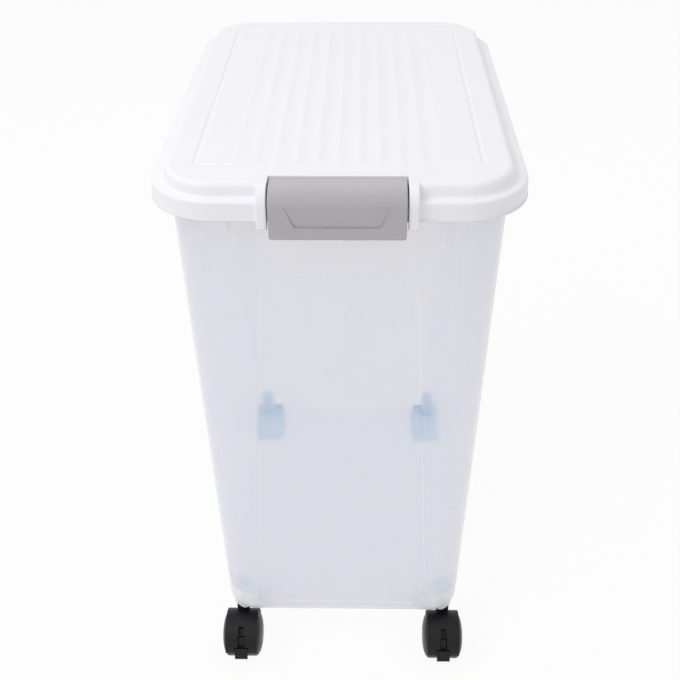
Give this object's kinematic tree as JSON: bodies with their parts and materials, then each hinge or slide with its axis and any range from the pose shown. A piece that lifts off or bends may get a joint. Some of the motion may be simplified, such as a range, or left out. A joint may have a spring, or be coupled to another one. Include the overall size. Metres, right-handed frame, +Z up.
{
  "type": "rolling ingredient bin",
  "caption": "Tall tapered translucent bin with a fluted white lid hinged at the rear, a grey swing latch and braked swivel casters, for storing and moving dry ingredients.",
  "frame": {"origin": "on the floor, under the middle of the bin", "axes": "+X to the right seen from the front, +Y to the rear, +Z up"},
  "size_m": [0.324, 0.492, 0.59],
  "materials": {
    "tub_plastic": "translucent moulded polypropylene",
    "lid_plastic": "white moulded polypropylene, satin",
    "latch_plastic": "grey moulded plastic, fine satin",
    "gasket_rubber": "white silicone, matt",
    "caster_nylon": "black moulded nylon",
    "wheel_plastic": "black moulded nylon, smooth",
    "steel": "turned steel, zinc plated",
    "spring_steel": "spring steel strip"
  },
  "bodies": {
    "bin": {"bin_body": "tub_plastic", "front_left_stem": "steel", "front_left_grip_ring": "spring_steel", "front_right_stem": "steel", "front_right_grip_ring": "spring_steel", "rear_left_stem": "steel", "rear_left_grip_ring": "spring_steel", "rear_right_stem": "steel", "rear_right_grip_ring": "spring_steel"},
    "lid": {"lid_shell": "lid_plastic", "lid_gasket": "gasket_rubber"},
    "latch": {"lid_latch": "latch_plastic"},
    "front_left_caster": {"front_left_hood": "caster_nylon", "front_left_axle": "steel"},
    "front_left_wheel_left": {"front_left_wheel_left": "wheel_plastic"},
    "front_left_wheel_right": {"front_left_wheel_right": "wheel_plastic"},
    "front_left_brake": {"front_left_brake_lever": "caster_nylon"},
    "front_right_caster": {"front_right_hood": "caster_nylon", "front_right_axle": "steel"},
    "front_right_wheel_left": {"front_right_wheel_left": "wheel_plastic"},
    "front_right_wheel_right": {"front_right_wheel_right": "wheel_plastic"},
    "front_right_brake": {"front_right_brake_lever": "caster_nylon"},
    "rear_left_caster": {"rear_left_hood": "caster_nylon", "rear_left_axle": "steel"},
    "rear_left_wheel_left": {"rear_left_wheel_left": "wheel_plastic"},
    "rear_left_wheel_right": {"rear_left_wheel_right": "wheel_plastic"},
    "rear_right_caster": {"rear_right_hood": "caster_nylon", "rear_right_axle": "steel"},
    "rear_right_wheel_left": {"rear_right_wheel_left": "wheel_plastic"},
    "rear_right_wheel_right": {"rear_right_wheel_right": "wheel_plastic"}
  },
  "joints": [
    {"name": "lid_hinge", "type": "hinge", "parent": "bin", "child": "lid", "pos_m": [0, 0.2408, 0.5525], "axis": [-1, 0, 0], "range_deg": [0, 110]},
    {"name": "latch_swing", "type": "hinge", "parent": "lid", "child": "latch", "pos_m": [0, -0.2185, 0.5846], "axis": [-1, 0, 0], "range_deg": [0, 85]},
    {"name": "front_left_swivel", "type": "hinge", "parent": "bin", "child": "front_left_caster", "pos_m": [-0.1115, -0.1785, 0.0564], "axis": [0, 0, 1], "continuous": true},
    {"name": "front_left_wheel_left_spin", "type": "hinge", "parent": "front_left_caster", "child": "front_left_wheel_left", "pos_m": [-0.1115, -0.1945, 0.025], "axis": [1, 0, 0], "continuous": true},
    {"name": "front_left_wheel_right_spin", "type": "hinge", "parent": "front_left_caster", "child": "front_left_wheel_right", "pos_m": [-0.1115, -0.1945, 0.025], "axis": [1, 0, 0], "continuous": true},
    {"name": "front_left_brake_tip", "type": "hinge", "parent": "front_left_caster", "child": "front_left_brake", "pos_m": [-0.1115, -0.214, 0.028], "axis": [1, 0, 0], "range_deg": [0, 9]},
    {"name": "front_right_swivel", "type": "hinge", "parent": "bin", "child": "front_right_caster", "pos_m": [0.1115, -0.1785, 0.0564], "axis": [0, 0, 1], "continuous": true},
    {"name": "front_right_wheel_left_spin", "type": "hinge", "parent": "front_right_caster", "child": "front_right_wheel_left", "pos_m": [0.1115, -0.1945, 0.025], "axis": [1, 0, 0], "continuous": true},
    {"name": "front_right_wheel_right_spin", "type": "hinge", "parent": "front_right_caster", "child": "front_right_wheel_right", "pos_m": [0.1115, -0.1945, 0.025], "axis": [1, 0, 0], "continuous": true},
    {"name": "front_right_brake_tip", "type": "hinge", "parent": "front_right_caster", "child": "front_right_brake", "pos_m": [0.1115, -0.214, 0.028], "axis": [1, 0, 0], "range_deg": [0, 9]},
    {"name": "rear_left_swivel", "type": "hinge", "parent": "bin", "child": "rear_left_caster", "pos_m": [-0.1115, 0.1785, 0.0564], "axis": [0, 0, 1], "continuous": true},
    {"name": "rear_left_wheel_left_spin", "type": "hinge", "parent": "rear_left_caster", "child": "rear_left_wheel_left", "pos_m": [-0.1115, 0.1945, 0.025], "axis": [1, 0, 0], "continuous": true},
    {"name": "rear_left_wheel_right_spin", "type": "hinge", "parent": "rear_left_caster", "child": "rear_left_wheel_right", "pos_m": [-0.1115, 0.1945, 0.025], "axis": [1, 0, 0], "continuous": true},
    {"name": "rear_right_swivel", "type": "hinge", "parent": "bin", "child": "rear_right_caster", "pos_m": [0.1115, 0.1785, 0.0564], "axis": [0, 0, 1], "continuous": true},
    {"name": "rear_right_wheel_left_spin", "type": "hinge", "parent": "rear_right_caster", "child": "rear_right_wheel_left", "pos_m": [0.1115, 0.1945, 0.025], "axis": [1, 0, 0], "continuous": true},
    {"name": "rear_right_wheel_right_spin", "type": "hinge", "parent": "rear_right_caster", "child": "rear_right_wheel_right", "pos_m": [0.1115, 0.1945, 0.025], "axis": [1, 0, 0], "continuous": true}
  ]
}
